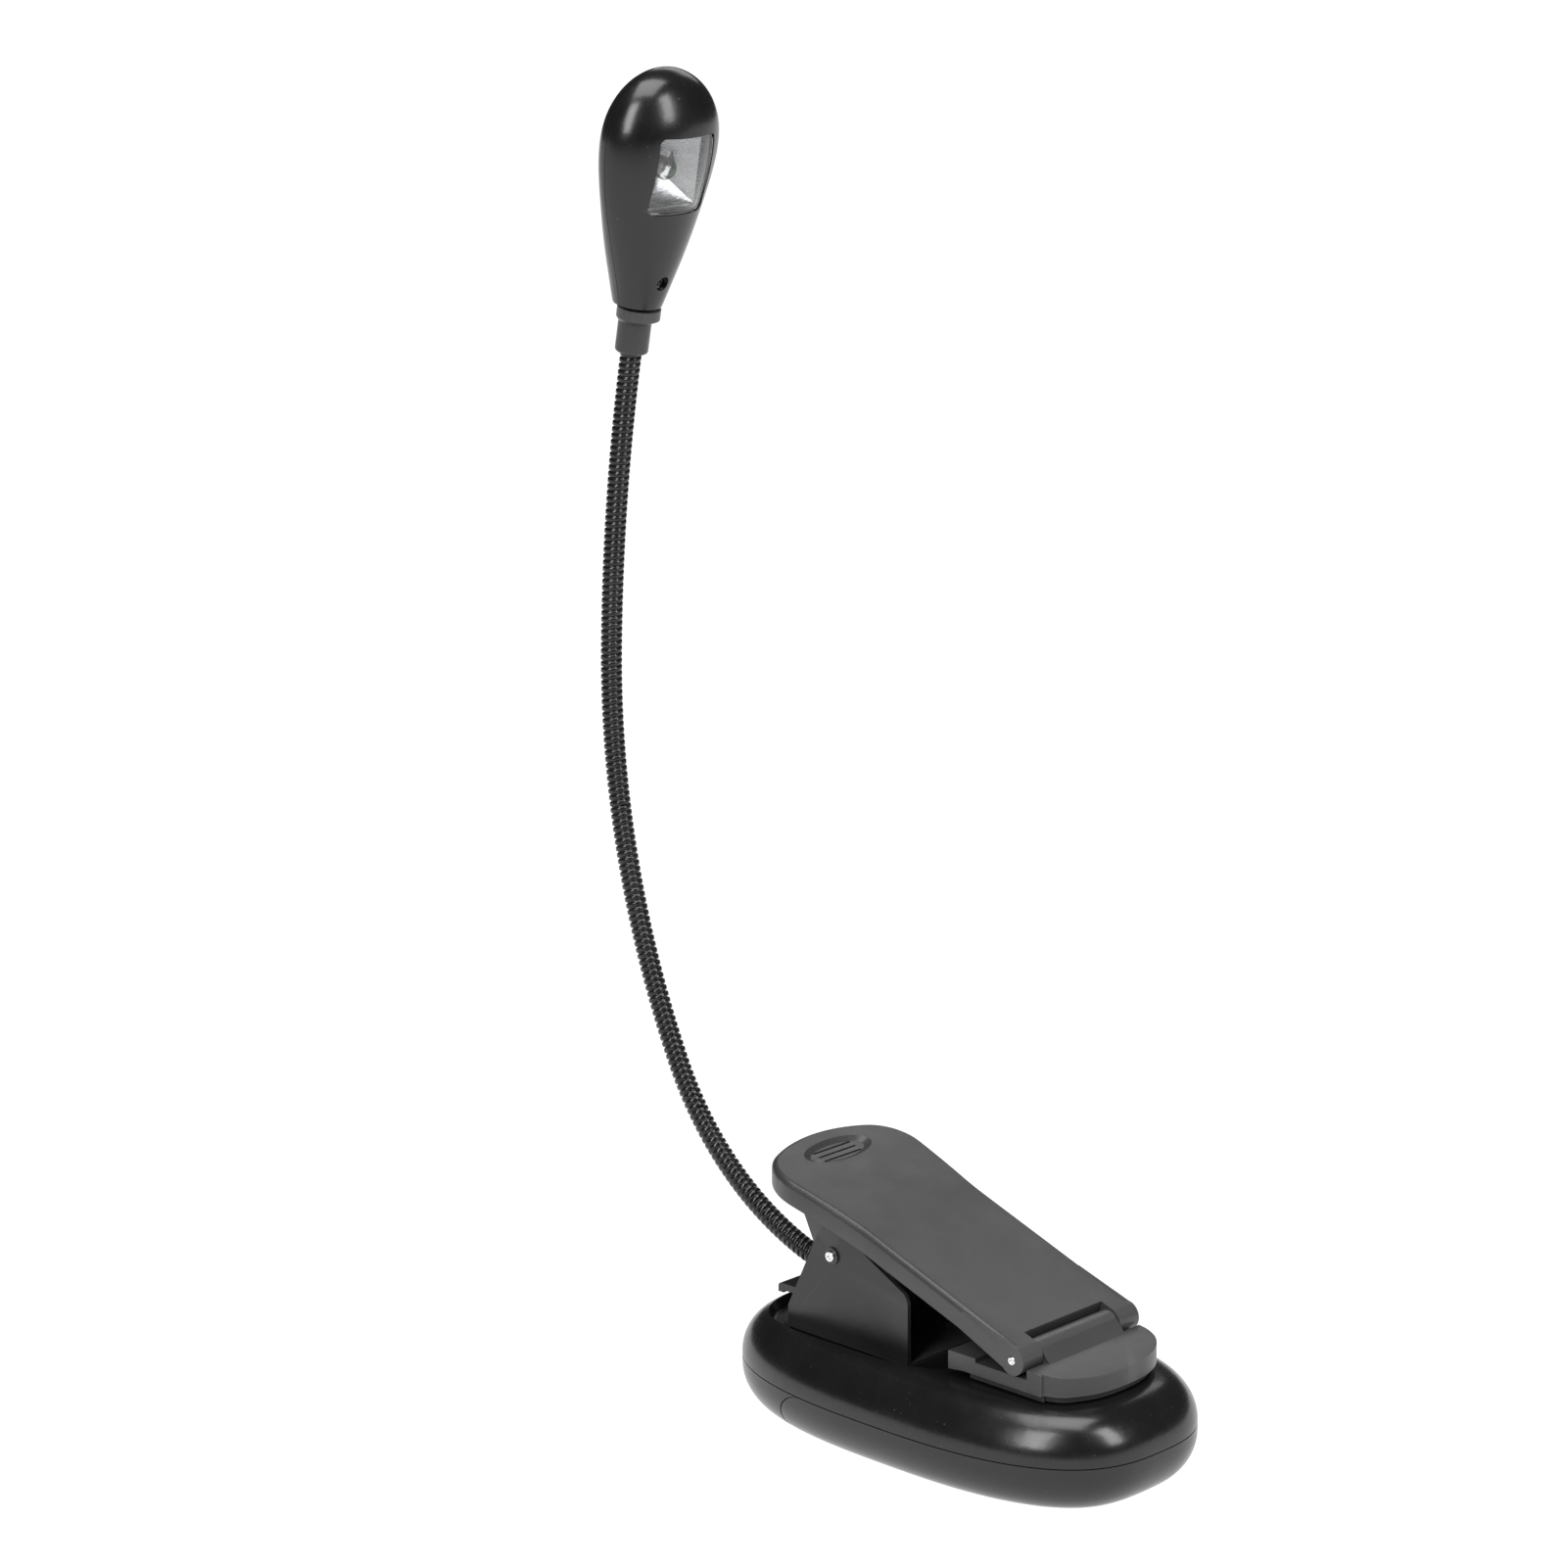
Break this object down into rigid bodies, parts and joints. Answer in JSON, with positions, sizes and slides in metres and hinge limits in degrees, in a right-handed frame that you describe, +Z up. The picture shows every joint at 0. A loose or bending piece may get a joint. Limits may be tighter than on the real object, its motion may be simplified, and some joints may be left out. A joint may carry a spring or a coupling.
{
  "type": "clip on reading lamp",
  "caption": "Clip-on reading lamp: battery base with a sprung book clip, a flexible ribbed neck and a swivelling teardrop lamp head with a square window.",
  "frame": {"origin": "centre of the base's flat underside", "axes": "+Z up from the underside, Y along the base with the clip jaw at -Y, X across it along the clip's pins"},
  "size_m": [0.0642, 0.1693, 0.2979],
  "materials": {
    "shell_black": "gloss",
    "clip_black": "satin",
    "ear_black": "satin",
    "neck_black": "satin",
    "sleeve_black": "satin",
    "tray_plastic": "matte",
    "cell_can": "satin",
    "spring_steel": "satin",
    "pin_steel": "polished",
    "screw_steel": "satin",
    "board_green": "satin",
    "switch_black": "matte",
    "resistor_tan": "satin",
    "wire_red": "satin",
    "sole_rubber": "matte",
    "window_clear": "clear, polished",
    "reflector_silver": "polished",
    "led_clear": "clear"
  },
  "bodies": {
    "base": {"base_top_shell": "shell_black", "base_rear_shell": "shell_black", "battery_tray": "tray_plastic", "battery_cell_1": "cell_can", "battery_cell_2": "cell_can", "battery_cell_3": "cell_can", "contact_springs": "spring_steel", "contact_plates": "spring_steel", "circuit_board": "board_green", "switch_body": "switch_black", "series_resistor": "resistor_tan", "board_screws": "screw_steel", "shell_screws": "screw_steel", "tray_screws": "screw_steel", "clip_bracket": "ear_black", "bracket_screws": "screw_steel", "main_pin": "pin_steel", "torsion_spring": "spring_steel", "neck_socket": "clip_black", "neck_root": "neck_black", "lead_wires": "wire_red"},
    "cover": {"battery_cover": "shell_black"},
    "button": {"power_button": "shell_black"},
    "lever": {"clip_lever": "clip_black", "front_pin": "pin_steel"},
    "jaw": {"clip_jaw": "clip_black", "jaw_sole": "sole_rubber"},
    "neck_01": {"neck_segment_01": "neck_black"},
    "neck_02": {"neck_segment_02": "neck_black"},
    "neck_03": {"neck_segment_03": "neck_black"},
    "neck_04": {"neck_segment_04": "neck_black"},
    "neck_05": {"neck_segment_05": "neck_black"},
    "neck_06": {"neck_segment_06": "neck_black"},
    "neck_07": {"neck_segment_07": "neck_black"},
    "neck_08": {"neck_segment_08": "neck_black"},
    "neck_09": {"neck_segment_09": "neck_black"},
    "neck_10": {"neck_segment_10": "neck_black", "neck_sleeve": "sleeve_black"},
    "head": {"head_rear_shell": "shell_black", "head_front_shell": "shell_black", "window_pane": "window_clear", "reflector": "reflector_silver", "led": "led_clear", "head_board": "board_green", "head_screw": "screw_steel"}
  },
  "joints": [
    {"name": "battery_cover_slide", "type": "slide", "parent": "base", "child": "cover", "axis": [0, -1, 0], "range_m": [0, 0.05]},
    {"name": "power_button_press", "type": "slide", "parent": "base", "child": "button", "axis": [0, 0, -1], "range_m": [0, 0.001], "stiffness_N_per_m": 400, "springref_m": -0.0008},
    {"name": "clip_lever_hinge", "type": "hinge", "parent": "base", "child": "lever", "pos_m": [0, 0.0256, 0.0406], "axis": [-1, 0, 0], "range_deg": [0, 18], "stiffness_Nm_per_rad": 0.6, "springref_deg": -28.65, "deforming": ["torsion_spring"]},
    {"name": "clip_jaw_hinge", "type": "hinge", "parent": "lever", "child": "jaw", "pos_m": [0, -0.0306, 0.0316], "axis": [1, 0, 0], "range_deg": [0, 18]},
    {"name": "neck_sway_1", "type": "hinge", "parent": "base", "child": "neck_01", "pos_m": [0, 0.0345, 0.0288], "axis": [0, -0.1115, 0.9938], "range_deg": [-20, 20]},
    {"name": "neck_bend_1", "type": "hinge", "parent": "neck_01", "child": "neck_02", "pos_m": [0, 0.05701, 0.03525], "axis": [1, 0, 0], "range_deg": [-15, 20]},
    {"name": "neck_sway_2", "type": "hinge", "parent": "neck_02", "child": "neck_03", "pos_m": [0, 0.07614, 0.04875], "axis": [0, -0.7046, 0.7096], "range_deg": [-20, 20]},
    {"name": "neck_bend_2", "type": "hinge", "parent": "neck_03", "child": "neck_04", "pos_m": [0, 0.08977, 0.06779], "axis": [1, 0, 0], "range_deg": [-15, 20]},
    {"name": "neck_sway_3", "type": "hinge", "parent": "neck_04", "child": "neck_05", "pos_m": [0, 0.09921, 0.09058], "axis": [0, -0.9455, 0.3256], "range_deg": [-20, 20]},
    {"name": "neck_bend_3", "type": "hinge", "parent": "neck_05", "child": "neck_06", "pos_m": [0, 0.1058, 0.11434], "axis": [1, 0, 0], "range_deg": [-20, 20]},
    {"name": "neck_sway_4", "type": "hinge", "parent": "neck_06", "child": "neck_07", "pos_m": [0, 0.10945, 0.13873], "axis": [0, -0.9962, 0.0872], "range_deg": [-20, 20]},
    {"name": "neck_bend_4", "type": "hinge", "parent": "neck_07", "child": "neck_08", "pos_m": [0, 0.11009, 0.16339], "axis": [1, 0, 0], "range_deg": [-20, 20]},
    {"name": "neck_sway_5", "type": "hinge", "parent": "neck_08", "child": "neck_09", "pos_m": [0, 0.1087, 0.18618], "axis": [0, -0.9962, -0.0866], "range_deg": [-20, 20]},
    {"name": "neck_bend_5", "type": "hinge", "parent": "neck_09", "child": "neck_10", "pos_m": [0, 0.10614, 0.20887], "axis": [1, 0, 0], "range_deg": [-20, 20]},
    {"name": "head_swivel", "type": "hinge", "parent": "neck_10", "child": "head", "pos_m": [0, 0.10034, 0.24209], "axis": [0, -0.1891, 0.982], "range_deg": [-90, 90]}
  ],
  "couplings": [
    {"joint": "clip_jaw_hinge", "follows": "clip_lever_hinge", "ratio": 1},
    {"joint": "neck_sway_2", "follows": "neck_sway_1", "ratio": 1},
    {"joint": "neck_sway_4", "follows": "neck_sway_3", "ratio": 1},
    {"joint": "neck_sway_5", "follows": "neck_sway_3", "ratio": 1},
    {"joint": "neck_bend_2", "follows": "neck_bend_1", "ratio": 1},
    {"joint": "neck_bend_4", "follows": "neck_bend_3", "ratio": 1},
    {"joint": "neck_bend_5", "follows": "neck_bend_3", "ratio": 1}
  ]
}
